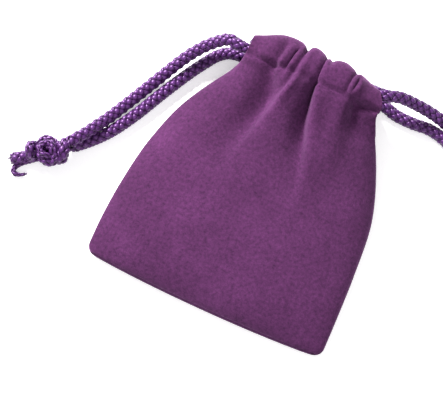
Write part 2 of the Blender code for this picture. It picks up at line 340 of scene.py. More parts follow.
class Tubes:
    """Collects tubes, to be made into one mesh with uvs and a 'lift' value, from which the satin
    paints its shade.
    """

    def __init__(self):
        self.vertices, self.faces, self.uvs, self.lift = [], [], [], []
        self.count = 0

    def add(self, rings, uvs, lift):
        """rings is an array (along, round, 3); the ends are closed."""
        along, around = rings.shape[:2]
        index = self.count + np.arange(along * around).reshape(along, around)
        after = np.roll(index, -1, axis=1)
        quads = np.stack([index[:-1], after[:-1], after[1:], index[1:]], axis=-1)
        self.faces += quads.reshape(-1, 4).tolist()
        self.faces.append(index[0][::-1].tolist())
        self.faces.append(index[-1].tolist())
        self.vertices.append(rings.reshape(-1, 3))
        self.uvs.append(uvs.reshape(-1, 2))
        self.lift.append(lift.reshape(-1))
        self.count += along * around

    def object(self, name, material):
        return mesh_object(
            name,
            np.concatenate(self.vertices),
            self.faces,
            material,
            np.concatenate(self.uvs),
            {"lift": np.concatenate(self.lift)},
        )


# ---------------------------------------------------------------- braided cord

CORD_DIAMETER = 4.0 * MM
BRAID_PITCH = 11.5 * MM  # one whole turn of a yarn round the cord
BRAID_CENTRE_RADIUS = 1.50 * MM
BRAID_LIFT = 0.36 * MM
YARN_HALF_WIDTH = 0.98 * MM
YARN_HALF_HEIGHT = 0.56 * MM
CORE_RADIUS = 1.25 * MM
BRAID_STEP = 0.45 * MM
YARNS_EACH_WAY = 4
TUBE_SIDES = 8
HELD_SQUEEZE = 0.83  # the cord is pressed thinner where the casing holds it


def braid(tubes, points, squeeze):
    """Eight yarns, four each way, woven over and under round a core that follows points.

    squeeze, one share for each point, thins the cord, as at a cut end.
    """
    frames = side_frames(points)
    first, second = frames
    along = distances_along(points)
    turn = 2 * math.pi * along / BRAID_PITCH
    around = ring_angles(TUBE_SIDES)
    for way in (1, -1):
        for k in range(YARNS_EACH_WAY):
            angle = 2 * math.pi / YARNS_EACH_WAY * k + way * turn
            lift = way * np.cos(YARNS_EACH_WAY * turn)
            radius = (BRAID_CENTRE_RADIUS + BRAID_LIFT * lift) * squeeze
            outward = np.cos(angle)[:, None] * first + np.sin(angle)[:, None] * second
            middle = points + radius[:, None] * outward
            heading = np.gradient(middle, axis=0)
            heading /= np.linalg.norm(heading, axis=1)[:, None]
            across = np.cross(heading, outward)
            across /= np.linalg.norm(across, axis=1)[:, None]
            wide = (YARN_HALF_WIDTH * squeeze)[:, None, None]
            high = (YARN_HALF_HEIGHT * squeeze)[:, None, None]
            rings = (
                middle[:, None]
                + wide * np.cos(around)[None, :, None] * across[:, None]
                + high * np.sin(around)[None, :, None] * outward[:, None]
            )
            uvs = grid_uvs(along / MM, around / (2 * math.pi))
            # 0 on a yarn's underside where it dives under another, 1 on top of its crests: the
            # satin's colour darkens with it, as painted shade
            rise = 0.5 + 0.28 * lift[:, None] + 0.22 * np.sin(around)[None]
            tubes.add(rings, uvs[..., ::-1], rise)
    # the core gets a lift of 0, the darkest colour: painted shade in the gaps between the yarns
    rings = round_rings(points, frames, CORE_RADIUS * squeeze, around)
    tubes.add(rings, grid_uvs(along / MM, around), np.zeros(rings.shape[:2]))


def braided_object(name, points, material, squeeze):
    tubes = Tubes()
    braid(tubes, points, squeeze)
    return tubes.object(name, material)


# Each cord's route from the casing's end into its knot, in millimetres
LEFT_FRONT_ROUTE = (
    (-28.0, 39.9, 14.85),
    (-31.6, 40.6, 13.7),
    (-36.4, 38.2, 10.6),
    (-40.4, 34.6, 8.3),
    (-44.4, 29.4, 6.0),
    (-49.1, 21.0, 3.6),
    (-54.3, 10.5, 2.5),
    (-59.1, 0.1, 3.1),
    (-62.0, -6.2, 5.0),
    (-64.5, -11.2, 6.2),
    (-67.2, -15.4, 6.7),
)
LEFT_BACK_ROUTE = (
    (-28.0, 39.9, 3.15),
    (-31.4, 39.2, 2.4),
    (-34.5, 36.7, 2.2),
    (-37.3, 32.6, 2.2),
    (-41.2, 25.8, 2.2),
    (-46.4, 15.3, 2.2),
    (-51.4, 4.5, 2.2),
    (-56.5, -4.6, 2.2),
    (-61.4, -10.8, 2.2),
)
RIGHT_FRONT_ROUTE = (
    (28.0, 44.6, 14.85),
    (32.6, 46.6, 13.2),
    (38.3, 47.7, 9.9),
    (45.3, 48.0, 6.6),
    (52.4, 46.8, 4.2),
    (60.4, 43.2, 2.7),
    (68.6, 37.6, 2.3),
    (75.9, 30.4, 2.3),
    (82.6, 23.0, 2.7),
)
RIGHT_BACK_ROUTE = (
    (28.0, 44.6, 3.15),
    (33.3, 43.4, 2.3),
    (40.0, 43.2, 2.2),
    (47.0, 43.6, 2.2),
    (54.4, 41.6, 2.2),
    (61.8, 37.0, 2.2),
    (69.2, 30.8, 2.2),
    (75.8, 23.6, 2.2),
)

# A knot's own axes: along the cord towards the strands, across it, and up, in millimetres
# from its middle. The first cord runs through and wraps the tails' end. The second wraps the
# strands' end, goes round the middle, then lies on top as a small ring with an eye.
KNOT_RING_MIDDLE = (-0.6, 0.2, 3.2)
KNOT_RING_RADIUS = 2.25
KNOT_THROUGH_PATH = (
    (4.0, 1.9, 0.1),
    (-0.6, 1.3, -1.7),
    (-4.2, 2.0, -1.5),
    (-6.2, 2.6, 0.3),
    (-6.7, 0.4, 2.0),
    (-6.4, -1.2, 1.1),
    (-6.6, -1.4, -0.9),
    (-8.0, -0.9, -2.3),
)
KNOT_RING_PATH = (
    (6.8, 3.5, -0.6),
    (5.6, 1.8, 2.2),
    (5.3, -1.0, 2.2),
    (4.4, -2.7, 0.4),
    (2.6, -1.2, -1.0),
    (2.6, 1.6, 0.2),
    (0.5, 4.1, 0.9),
    (-2.2, 4.0, 0.9),
    (-3.3, 1.2, 0.6),
    (-2.7, -1.8, 0.5),
    (-0.4, -3.9, 0.9),
    (1.8, -3.8, 1.4),
    (2.5, -1.6, 2.3),
    *(
        (
            KNOT_RING_MIDDLE[0] + KNOT_RING_RADIUS * math.cos(math.radians(turn)),
            KNOT_RING_MIDDLE[1] + KNOT_RING_RADIUS * math.sin(math.radians(turn)),
            KNOT_RING_MIDDLE[2],
        )
        for turn in range(-10, 300, 45)
    ),
    (0.7, -2.3, 2.5),
    (1.5, -2.1, 0.9),
    (-0.3, -1.9, -0.8),
    (-2.6, -1.5, -1.8),
    (-5.0, -1.6, -2.8),
)


def knot_points(path, centre, heading):
    """Turns points in a knot's own axes into the frame's, in metres."""
    along, across, up = (np.array([p[k] for p in path]) * MM for k in range(3))
    x = centre[0] + along * math.cos(heading) - across * math.sin(heading)
    y = centre[1] + along * math.sin(heading) + across * math.cos(heading)
    return np.stack([x, y, centre[2] + up], axis=1)


# (distance from the cut end in millimetres, share of the cord's full thickness)
STUB_THINNING = ((0, 0.85), (1.2, 1.0), (5, 0.95), (9, 0.8), (16, 0.8), (22, 1.0))
THIN_THINNING = (
    (0, 0.25), (3, 0.40), (9, 0.48), (13, 0.62), (18, 0.55), (32, 0.55), (36, 0.68), (54, 0.72),
    (60, 0.85), (68, 1.0),
)


def middle_of(node):
    """The middle of a CAD node's box."""
    low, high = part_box(node)
    return [(low[k] + high[k]) / 2 for k in range(3)]


def tied_knot(side, heading, entries, tails, material):
    """Two cords tied together, with their cut ends: one is a stub, the other ravels thin."""
    centre = middle_of(side + "_knot")
    tubes = Tubes()
    for entry, path, tail, thinning in zip(
        entries,
        (KNOT_THROUGH_PATH, KNOT_RING_PATH),
        tails,
        (STUB_THINNING, THIN_THINNING),
    ):
        inside = knot_points((entry, *path), centre, heading)
        knots = np.concatenate([inside, np.array(tail) * MM])
        points = smooth_curve(knots, BRAID_STEP)
        left = np.linspace(length_of(points) / MM, 0, len(points))
        braid(tubes, points, between(left, thinning))
        fray(tubes, points[-1], points[-1] - points[-4], thinning[0][1])
    knot = tubes.object(side + "_tied_knot", material)
    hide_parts(side + "_knot", side + "_stub_tail", side + "_frayed_tail")
    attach(knot, side + "_drawstring")
    return knot


FILAMENTS = 26
FILAMENT_SPREAD = 0.42
FILAMENT_RADII = (0.13, 0.05)  # at its root and at its tip, in millimetres


def fray(tubes, place, direction, thickness):
    """Loose filaments fanning out of a cut end, thickness being its share of the full cord."""
    direction = direction / np.linalg.norm(direction)
    around = ring_angles(4)
    for _ in range(FILAMENTS):
        spread = RNG.normal(0, FILAMENT_SPREAD, 3)
        start = place + RNG.normal(0, 0.75 * thickness * MM, 3) - direction * 0.8 * MM
        reach = RNG.uniform(0.6, 1.7) * MM
        middle = start + (direction + 0.4 * spread) * reach * 0.5
        end = start + (direction + spread) * reach
        for point in (start, middle, end):
            point[2] = max(point[2], 0.35 * MM)
        points = smooth_curve((start, middle, end), 0.3 * MM)
        radii = np.linspace(*FILAMENT_RADII, len(points)) * MM
        rings = round_rings(points, side_frames(points), radii, around)
        tubes.add(rings, np.zeros((*rings.shape[:2], 2)), np.full(rings.shape[:2], 0.8))


RUN_STEP = 9 * MM  # between the points that keep a run straight inside its casing
EXIT_REACH = 1.5  # millimetres to each side of the exit: over them a cord swells


def drawstring(side, layer, route, entry, material):
    """One strand: its run inside the casing, then its route out of the casing's end to the knot.
    """
    run_low, run_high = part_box(f"{side}_{layer}_cord_run")
    sign = -1 if side == "left" else 1
    inner = run_high[0] if side == "left" else run_low[0]
    exit_x = run_low[0] if side == "left" else run_high[0]
    y = (run_low[1] + run_high[1]) / 2
    z = (run_low[2] + run_high[2]) / 2
    knots = [(inner + sign * k * RUN_STEP, y, z) for k in range(3)]
    knots += [(exit_x - sign * EXIT_REACH * MM, y, z)]
    knots += [tuple(v * MM for v in point) for point in route]
    knots += [tuple(entry)]
    points = smooth_curve(knots, BRAID_STEP)
    outwards = sign * (points[:, 0] - exit_x) / MM
    squeeze = HELD_SQUEEZE + (1 - HELD_SQUEEZE) * smooth_step(outwards, -EXIT_REACH, EXIT_REACH)
    cord = braided_object(f"{side}_{layer}_cord", points, material, squeeze)
    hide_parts(f"{side}_{layer}_cord_run", f"{side}_{layer}_strand")
    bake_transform(cord)
    return cord, points, (exit_x, y, z)


# For each side the knot's heading, both routes, where the strands enter the knot in its own
# axes, and both tails from the knot to their cut ends, in millimetres
CORDS = {
    "left": (
        math.radians(25),
        (LEFT_FRONT_ROUTE, LEFT_BACK_ROUTE),
        ((7.8, 2.0, 1.4), (9.2, 2.8, -2.2)),
        (
            ((-81.5, -27.3, 2.3), (-83.4, -28.6, 2.2), (-84.6, -29.4, 2.2)),
            (
                (-80.2, -28.4, 1.6),
                (-81.8, -30.3, 1.2),
                (-82.5, -32.1, 1.1),
                (-81.7, -33.4, 1.1),
                (-79.8, -33.3, 1.1),
                (-78.0, -32.3, 1.2),
            ),
        ),
    ),
    "right": (
        math.radians(118),
        (RIGHT_FRONT_ROUTE, RIGHT_BACK_ROUTE),
        ((7.8, -1.2, 0.4), (9.2, 2.8, -2.2)),
        (
            ((92.6, 1.2, 2.4), (94.0, -1.4, 2.2)),
            ((87.4, 1.4, 1.6), (86.2, -1.0, 1.3), (84.6, -3.2, 1.2), (82.6, -3.6, 1.2)),
        ),
    ),
}


def add_cords(material):
    for side, (heading, routes, entries, tails) in CORDS.items():
        knot = tied_knot(side, heading, entries, tails, material)
        ends = knot_points(entries, middle_of(side + "_knot"), heading)
        for layer, route, end in zip(("front", "back"), routes, ends):
            cord, points, way_out = drawstring(side, layer, route, end, material)
        return_loop(side, material)


def return_loop(side, material):
    """The rest of a cord, held in the casings: it turns at the end far from its knot."""
    name = side + "_cord_return_loop"
    low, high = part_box(name)
    radius = CORD_DIAMETER / 2
    sign = 1 if side == "left" else -1
    y = (low[1] + high[1]) / 2
    bottom = low[2] + radius
    top = high[2] - radius
    bend = (top - bottom) / 2
    start = low[0] if sign > 0 else high[0]
    centre = (high[0] - radius - bend) if sign > 0 else (low[0] + radius + bend)
    turns = np.radians(np.linspace(90, -90, 9))
    knots = [(start, y, top), ((start + centre) / 2, y, top)]
    knots += [
        (centre + sign * bend * math.cos(a), y, (top + bottom) / 2 + bend * math.sin(a))
        for a in turns
    ]
    knots += [((start + centre) / 2, y, bottom), (start, y, bottom)]
    points = smooth_curve(knots, BRAID_STEP)
    squeeze = np.full(len(points), HELD_SQUEEZE)
    loop = braided_object(side + "_return_loop", points, material, squeeze)
    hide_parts(name)
    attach(loop, "pouch")


# ---------------------------------------------------------------- the velvet sheets
#
# Both sheets are worked out in millimetres. A point of the body is found from (s, y), where s
# goes from -1 at the left seam to 1 at the right seam. The casing goes on from its last row.

BOTTOM_Y = -48.0
STITCH_Y = 36.6  # where the casing's hem is sewn down
CLOTH = 0.9
HALF_CLOTH = CLOTH / 2
SEAM_ALLOWANCE = 5.0
SEAM_ROLL = 0.9  # radius of the cloth where it turns in at a seam
CASING_Y = 42.4  # the middle of both casings, which lie one over the other
FRONT_CASING_Z = 14.9
BACK_CASING_Z = 3.15
CASING_POWER = 2 / 2.4  # a casing's section is an ellipse at 1, and squarer below it
MOUTH_MIDDLE_X = 1.5
CORNER_RADIUS = 3.2
BACK_CURL = 5.0  # how far in from its seams the back panel rises to them

# Each sheet is a grid of points, whose columns and rows crowd towards the seams
SHEET_COLUMNS = 178
BODY_ROWS = 116
COLUMN_CROWDING = 0.35
ROW_CROWDING = 0.72
ALLOWANCE_SHARES = 7

# Inside the casing, the hem is left out near both ends, for the cords that turn there
HEM_FIRST_ROW = BODY_ROWS + 50
HEM_CUT_OFF = (12.5, 15)  # from the mouth's middle: where the cut starts and is at its full height
HEM_CUT_Y = 36.8
HEM_CUT_RISE = 9.7

# The seam allowances: the y that the side ones reach, and how all make room at the corners
ALLOWANCE_TOP_Y = 31.0
CORNER_TUCK = 8.0
BOTTOM_TAPER = 44.0

# (y, x) along each side, and (y, height) of the seam and of the crown
LEFT_EDGE = ((-48, -45.7), (-34, -45.8), (-20, -45.1), (-1, -42.4), (14.6, -37.4), (26.3, -30.6),
             (33, -25.6), (36.6, -23.6))
RIGHT_EDGE = ((-48, 44.3), (-32, 43.9), (-16, 43.1), (6, 40.4), (18, 36.2), (25, 33.0),
              (31, 29.8), (36.6, 27.6))
FRONT_SEAM_Z = ((-48, 1.6), (-40, 2.0), (15, 2.4), (20, 3.0), (30, 6.0), (34, 9.5), (36.6, 13.6))
FRONT_CROWN_Z = ((-48, 9.4), (-12, 10.8), (5, 11.8), (16, 13.2), (25, 15.4), (31, 17.2),
                 (34.5, 18.1), (36.6, 18.2))
BOTTOM_BULGE = 1.7  # how far the middle of the bottom edge stands out past its corners
BACK_SEAM_Z = ((-48, 1.6), (-40, 2.0), (15, 2.4), (20, 3.0), (28, 5.0), (31, 5.4), (36.6, 4.2))
BOTTOM_ROUNDING = 26.0  # how far from the bottom seam the crown is at its full height

# The front casing's top edge against the neck's x, before the casing's ends close in: its
# reach in y from the cords' middle, and how high it stands
FRONT_TOP_EDGE = ((-24.8, 1.8), (-23.4, 2.6), (-20.1, 4.2), (-16.9, 5.9), (-13.5, 7.2),
                  (-10.9, 7.4), (-7.9, 7.3), (-5.9, 7.0), (-4.8, 6.4), (-3.8, 5.5), (-3.0, 5.2),
                  (-2.3, 5.8), (-1.7, 6.6), (-0.5, 7.1), (0.8, 7.2), (2.8, 6.8), (4.5, 6.0),
                  (5.5, 5.2), (6.4, 5.5), (7.6, 5.1), (8.9, 5.8), (10.2, 6.3), (12.4, 6.7),
                  (14.0, 6.6), (15.8, 6.0), (16.9, 5.5), (18.2, 4.6), (19.8, 4.7), (22.3, 4.0),
                  (24.0, 3.3), (27.3, 2.4))
FRONT_TOP_HEIGHT = ((-24.6, 2.6), (-20, 3.2), (-16.5, 4.5), (-13.8, 5.3), (-10, 4.8), (8, 4.8),
                    (15, 4.7), (17.6, 4.7), (22, 3.5), (28, 2.4))

# (y, x) along the casing's two open ends
CASING_LEFT_END = ((36.6, -23.6), (38.4, -23.5), (41.1, -23.4), (44.9, -23.4), (49, -22.2))
CASING_RIGHT_END = ((36.6, 27.6), (38.3, 28.3), (41.7, 27.2), (43.7, 25.8), (46, 24.6), (49, 23))

# (from, to, rows) round each casing's section, in degrees: first outside, then inside
FRONT_TURNS = ((168, 20, 46), (12, -160, 22))
BACK_TURNS = ((168, -20, 40), (-28, -178, 24))

# (x, depth) of the notches between the back's gathers
BACK_NOTCHES = ((-24.6, 1.6), (-15.5, 1.5), (-7.4, 1.8), (1.6, 1.4), (9.2, 1.8), (18.4, 1.5),
                (27.0, 1.6))


class Fold:
    """A long fold in the cloth: height off the surface, up or down, along a path over y.

    lean scales the widths of its left and right flanks. A power below 2 sharpens its crest.
    """

    def __init__(self, path, height, width, lean=(1.0, 1.0), power=2.0):
        self.path, self.height, self.width = path, height, width
        self.lean, self.power = lean, power

    def rise(self, x, y):
        off = x - between(y, self.path)
        side = np.where(off < 0, self.lean[0], self.lean[1]) * between(y, self.width)
        return between(y, self.height) * np.exp(-0.5 * np.abs(off / side) ** self.power)


# Each path, height and width is a list of (y, value)
FRONT_FOLDS = (
    # the broad valley on the left
    Fold(((-4, -16.0), (4, -14.6), (10, -13.0), (20.5, -10.9), (25.4, -10.3), (30.3, -10.5),
          (35.2, -11.6), (38.5, -12.4)),
         ((-9, 0), (0, -1.2), (8, -2.8), (16, -4.2), (24, -4.7), (31, -4.4), (36.5, -2.1),
          (39, 0)),
         ((0, 4.0), (20, 2.8), (30, 2.2), (37, 1.8)), (1.9, 1.0)),
    # the soft valley that runs up the casing, right against the first thin pleat
    Fold(((35, -12.3), (39.6, -12.0), (42.7, -11.6), (45.6, -11.6), (49, -12.4)),
         ((34, 0), (38, -1.0), (41, -1.3), (45, -1.3), (50, -1.0)),
         ((36, 1.2), (42, 1.2)), (1.9, 0.8)),
    # the first thin pleat, the slit beside it and the second pleat
    Fold(((32.3, -9.4), (35, -10.4), (37.6, -10.8), (41, -10.4), (44.3, -9.6), (47.9, -8.6)),
         ((29, 0), (33, 0.5), (37, 0.9), (42, 0.8), (46, 0.4), (48, 0.1)),
         ((32, 1.1), (38, 0.7), (44, 0.6)), (0.7, 1.1), 1.4),
    Fold(((38, -8.2), (39.7, -7.9), (41.5, -7.6), (43.7, -7.3), (46, -6.8)),
         ((35, 0), (38, -0.4), (40, -1.2), (43.5, -1.3), (46, -0.3), (47, 0)),
         ((38, 0.42), (43, 0.38)), (1.1, 0.8)),
    Fold(((33, -6.8), (37.5, -7.2), (40, -7.0), (43, -6.5), (44.5, -6.1), (46.1, -5.6)),
         ((30, 0), (34, 0.3), (38, 0.6), (43, 0.6), (46, 0.3)),
         ((33, 0.9), (38, 0.6)), (0.7, 1.2), 1.4),
    # the drop left of the long ridge
    Fold(((26, -8.2), (30, -7.0), (34, -5.4), (38, -5.0), (42, -4.3), (46, -3.9), (49, -3.7)),
         ((20, 0), (27, -0.5), (34, -0.7), (40, -0.6), (44, -0.8), (46.5, -1.6), (48.5, -1.9)),
         ((26, 1.6), (34, 1.0), (42, 0.6)), (1.3, 0.8)),
    # the long thin ridge from the second notch down across the body
    Fold(((-4, -13.6), (4, -11.9), (10.7, -10.4), (16.2, -9.0), (22.5, -7.1), (30.6, -4.9),
          (34.6, -3.6), (38, -3.3), (41.5, -2.8), (45.5, -2.3), (49.4, -1.8)),
         ((-6, 0), (2, 0.8), (10, 1.7), (20, 2.4), (30, 2.4), (37, 1.8), (41, 1.1), (49, 0.8)),
         ((-6, 3.0), (6, 1.9), (20, 1.1), (32, 0.85), (40, 0.7)), (0.7, 1.7), 1.2),
    # the deep dark fold under the third notch: a long slope down to a steep right wall
    Fold(((-4, 11.6), (6, 10.4), (12, 9.2), (17, 7.9), (21, 6.6), (25, 5.4), (28.8, 4.8),
          (33, 4.1), (37.4, 3.8), (40.3, 3.7), (43.1, 3.6), (48.1, 3.5)),
         ((-8, 0), (0, -0.9), (6, -2.0), (12, -3.4), (18, -4.6), (24, -5.0), (29, -5.0),
          (35, -4.6), (37.4, -3.2), (38.8, -1.9), (43, -1.7), (48, -1.5)),
         ((-4, 5.0), (10, 3.6), (20, 2.6), (28, 1.9), (34, 1.35), (39, 0.8)), (1.3, 0.4)),
    # the small notch right of it, at the mouth
    Fold(((43.5, 5.5), (46.5, 5.8), (49, 6.0)), ((43.5, 0), (46, -0.7), (48.5, -1.2)),
         ((44, 0.7), (48, 0.7))),
    # the ridges right of it
    Fold(((10, 12.6), (20, 10.0), (28, 7.6), (34, 6.6)),
         ((2, 0), (12, 0.4), (22, 0.9), (30, 1.0), (35, 0.4), (38, 0)),
         ((10, 4.0), (22, 2.4), (34, 1.7))),
    Fold(((12, 18.0), (24, 16.5), (34, 15.2), (38, 14.6)),
         ((6, 0), (20, 0.4), (32, 0.5), (37, 0.2), (38, 0)), ((12, 3.4), (34, 2.0))),
    # the fourth notch, the curled tuck at its right and the crease below it
    Fold(((38, 14.9), (41, 14.9), (44, 15.1), (48, 15.3)),
         ((36, 0), (39, -0.6), (44, -1.2), (48, -1.7)), ((38, 0.6), (46, 0.6)), (1.4, 0.8)),
    Fold(((39, 15.9), (43.3, 15.8), (46.2, 16.2)),
         ((38, 0), (40, 0.7), (44, 0.8), (47, 0.3)), ((38, 0.5), (46, 0.5)), power=1.6),
    Fold(((40, 16.9), (42, 16.9), (45, 17.1)), ((39, 0), (41, -0.5), (44, -0.7), (46, 0)),
         ((39, 0.4), (46, 0.4))),
    Fold(((38.6, 17.0), (40.1, 17.6), (41.9, 18.2), (43.8, 18.2), (46.2, 17.2)),
         ((37, 0), (40, 0.8), (44, 0.9), (47, 0.5)), ((38, 0.7), (46, 0.6)), (0.7, 1.5), 1.6),
    Fold(((14, 24.6), (22, 23.4), (27.2, 22.4), (32.2, 20.5), (36, 18.8), (39, 18.4)),
         ((6, 0), (18, -0.6), (28, -1.1), (34, -1.3), (37, -1.0), (39, 0)),
         ((14, 4.0), (25, 2.6), (33, 1.7)), (0.8, 1.6)),
)


def front_groove(x, y):
    """The hem's stitches pull the cloth in: a little all along, and more at the right end."""
    pull = 0.05 + 0.05 * smooth_step(x, 4, 8) + 0.8 * smooth_step(x, 16.5, 20)
    lower = 0.1 * smooth_step(x, 4, 8) + 2.4 * smooth_step(x, 16.0, 20)
    groove = pull * np.exp(-0.5 * ((y - STITCH_Y) / 0.9) ** 2)
    return -groove - lower * smooth_step(y, 22, 35) * (1 - smooth_step(y, STITCH_Y, 39.4))


WAVES = 7


def lumps(x, y, size, seed):
    """Soft uneven waves, made of a few sines with seeded directions."""
    rng = np.random.default_rng(seed)
    total = np.zeros(np.broadcast(x, y).shape)
    for _ in range(WAVES):
        angle, phase = rng.uniform(0, math.pi), rng.uniform(0, 2 * math.pi)
        wave = size * rng.uniform(0.7, 1.6)
        total += np.sin((x * math.cos(angle) + y * math.sin(angle)) * 2 * math.pi / wave + phase)
    return total / WAVES


def spread_rows(start, end, count, crowding):
    """Values from start to end that crowd together at both."""
    q = np.linspace(0, 1, count)
    return start + (end - start) * (q - crowding * np.sin(2 * math.pi * q) / (2 * math.pi))


def gathers(x, notches):
    """1 on the crest of each gather, 0 in the notches between them."""
    total = np.zeros_like(x)
    for (left, _), (right, _) in zip(notches, notches[1:]):
        middle, half = (left + right) / 2, (right - left) / 2
        inside = np.abs(x - middle) <= half
        dome = np.clip(1.03 - (np.abs(x - middle) / half) ** 2.4, 0, 1) ** 0.62
        total = np.where(inside, dome, total)
    return total


def across_body(s, y):
    """The x of a point of the body, and half the body's width there."""
    left, right = between(y, LEFT_EDGE), between(y, RIGHT_EDGE)
    return (left + right) / 2 + (right - left) / 2 * s, (right - left) / 2


def bottom_bulge(s, y):
    """How far the body stands out at the bottom, fading to nothing at y = 0."""
    return BOTTOM_BULGE * (1 - np.abs(s) ** 2.2) * np.clip(y / BOTTOM_Y, 0, 1)


def front_body(s, y):
    """The front panel's middle surface from the bottom seam to the casing's stitches."""
    x, _ = across_body(s, y)
    seam = between(y, FRONT_SEAM_Z) + HALF_CLOTH + SEAM_ROLL
    crown = between(y, FRONT_CROWN_Z)
    # across, the section is a flattened arch, which rounds down to the bottom seam
    arch = np.clip(1 - np.abs(s) ** 2.8, 0, 1) ** (1 / 1.7)
    toe = np.clip((y - BOTTOM_Y) / BOTTOM_ROUNDING, 0, 1)
    arch = arch * np.sqrt(1 - (1 - toe) ** 2.6)
    rise = sum(fold.rise(x, y) for fold in FRONT_FOLDS)
    rise = rise + front_groove(x, y)
    rise = rise + 0.35 * lumps(x, y, 34, 3) + 0.10 * lumps(x, y, 9, 4)
    calm = np.clip(1 - np.abs(s) ** 8, 0, 1) * np.clip(toe * 2.2, 0, 1)
    return x, seam + (crown - seam) * arch + rise * calm


def loop_turns(stretches):
    """One row of the casing for each turn, in radians, as a column."""
    return np.radians(np.concatenate([np.linspace(*stretch) for stretch in stretches]))[:, None]


def casing_loop(turn, reach, top, bottom, centre_z):
    """A flattened loop in the y-z plane: turn is 180 degrees at the stitches, 0 at the mouth."""
    c, s = np.cos(turn), np.sin(turn)
    back = CASING_Y - STITCH_Y
    y = CASING_Y + np.where(c > 0, reach, back) * np.sign(c) * np.abs(c) ** CASING_POWER
    z = centre_z + np.where(s > 0, top, bottom) * np.sign(s) * np.abs(s) ** CASING_POWER
    return y, z


def casing_ends(y):
    """The x of the casing's left and right ends."""
    return between(y, CASING_LEFT_END), between(y, CASING_RIGHT_END)


def between_ends(neck_x, left, right):
    """Moves the neck's x along as the casing's ends close in from the neck's width."""
    neck_left, neck_right = casing_ends(np.array(STITCH_Y))
    return left + (right - left) * (neck_x - neck_left) / (neck_right - neck_left)


def front_casing(edge):
    """From the stitches over the gathers to the mouth, and back inside to the hem."""
    turn = loop_turns(FRONT_TURNS)
    neck_x = edge[None, :, 0]
    reach = between(neck_x, FRONT_TOP_EDGE)
    top = between(neck_x, FRONT_TOP_HEIGHT)
    y, z = casing_loop(turn, reach, top, 2.6, FRONT_CASING_Z)
    x = between_ends(neck_x, *casing_ends(y))
    outside = smooth_step(np.degrees(turn), -20, 40)
    rise = sum(fold.rise(x, y) for fold in FRONT_FOLDS)
    rise = rise + front_groove(x, y)
    z = z + (rise + 0.10 * lumps(x, y, 7, 6)) * outside
    # the first rows grow out of the stitched valley, the last ones end just under it
    start = smooth_step(y, STITCH_Y, STITCH_Y + 3.0)
    z = np.where(turn > 0, edge[None, :, 2] * (1 - start) + z * start, z)
    under = edge[None, :, 2] - 1.2
    inner = smooth_step(y, STITCH_Y, STITCH_Y + 2.2)
    z = np.where(turn <= 0, np.minimum(under, z) * (1 - inner) + z * inner, z)
    return np.stack([x, y, z], axis=-1)


def back_body(s, y):
    """The back panel: flat on the floor, curling up to its seams and puckered at the neck."""
    x, half_width = across_body(s, y)
    seam = between(y, BACK_SEAM_Z) - HALF_CLOTH - SEAM_ROLL * 0.6
    floor = HALF_CLOTH + 0.02
    from_side = (1 - np.abs(s)) * half_width
    from_bottom = y - BOTTOM_Y
    curl = np.clip(1 - from_side / BACK_CURL, 0, 1) ** 2
    curl = 1 - (1 - curl) * (1 - np.clip(1 - from_bottom / BACK_CURL, 0, 1) ** 2)
    z = floor + (seam - floor) * curl
    pucker = gathers(x, BACK_NOTCHES)
    near = smooth_step(y, 12, 35)
    z = z + near * (1 - curl) * (0.4 + 2.2 * (1 - pucker))
    return x, z


def back_casing(edge):
    """The same turned over: its outside faces the floor."""
    turn = loop_turns(BACK_TURNS)
    neck_x = edge[None, :, 0]
    lobe = gathers(neck_x, BACK_NOTCHES)
    notch = between(neck_x, BACK_NOTCHES)
    off = np.abs(neck_x - MOUTH_MIDDLE_X)
    reach = 6.1 - 0.9 * (1 - lobe) - 0.8 * smooth_step(off, 17, 26)
    y, up = casing_loop(turn, reach, 2.6 + 0.8 * lobe, 2.6 - 0.35 * notch * (1 - lobe), 0)
    z = BACK_CASING_Z - up
    left, right = casing_ends(y)
    right = right - 1.8 * smooth_step(y, STITCH_Y, STITCH_Y + 1.2)
    x = between_ends(neck_x, left, right)
    start = smooth_step(y, STITCH_Y - 0.1, STITCH_Y + 2.0)
    z = np.where(turn > 0, edge[None, :, 2] * (1 - start) + z * start, z)
    z = np.where(turn <= 0, np.maximum(edge[None, :, 2] + 1.0, z - 2 * (1 - start)), z)
    return np.stack([x, y, np.maximum(z, HALF_CLOTH)], axis=-1)


def quads_of(index):
    """The faces between a grid of vertex numbers."""
    corners = index[:-1, :-1], index[:-1, 1:], index[1:, 1:], index[1:, :-1]
    return np.stack(corners, axis=-1).reshape(-1, 4)


def rounded_corners(main, s, y):
    """Pulls the bottom corners in along a quarter circle."""
    up = np.clip(1 - (y - BOTTOM_Y) / CORNER_RADIUS, 0, 1)[:, None]
    pull = CORNER_RADIUS * (1 - np.sqrt(1 - up**2 * 0.98))
    main[..., 0] -= np.sign(s)[None, :] * np.abs(s)[None, :] ** 12 * pull
    return main


def open_ends(grid):
    """The points of the hem that are left out."""
    inner = np.arange(len(grid))[:, None] > HEM_FIRST_ROW
    off = np.abs(grid[..., 0] - MOUTH_MIDDLE_X)
    cut_y = HEM_CUT_Y + HEM_CUT_RISE * smooth_step(off, *HEM_CUT_OFF)
    return inner & (off > HEM_CUT_OFF[0]) & (grid[..., 1] < cut_y)


def allowance(edge_points, inwards, level):
    """A strip turned in from an edge: rolls under and runs in at the seam's own height."""
    rows = []
    for share in np.linspace(0, 1, ALLOWANCE_SHARES)[1:]:
        run = SEAM_ROLL * math.sin(min(share * 3, 1) * math.pi / 2) * 0.6
        run += max(share - 1 / 3, 0) * 1.5 * SEAM_ALLOWANCE
        fall = 1 - math.cos(min(share * 3, 1) * math.pi / 2)
        point = edge_points + inwards * run
        point[..., 2] = edge_points[..., 2] * (1 - fall) + level * fall
        rows.append(point)
    return np.stack(rows)


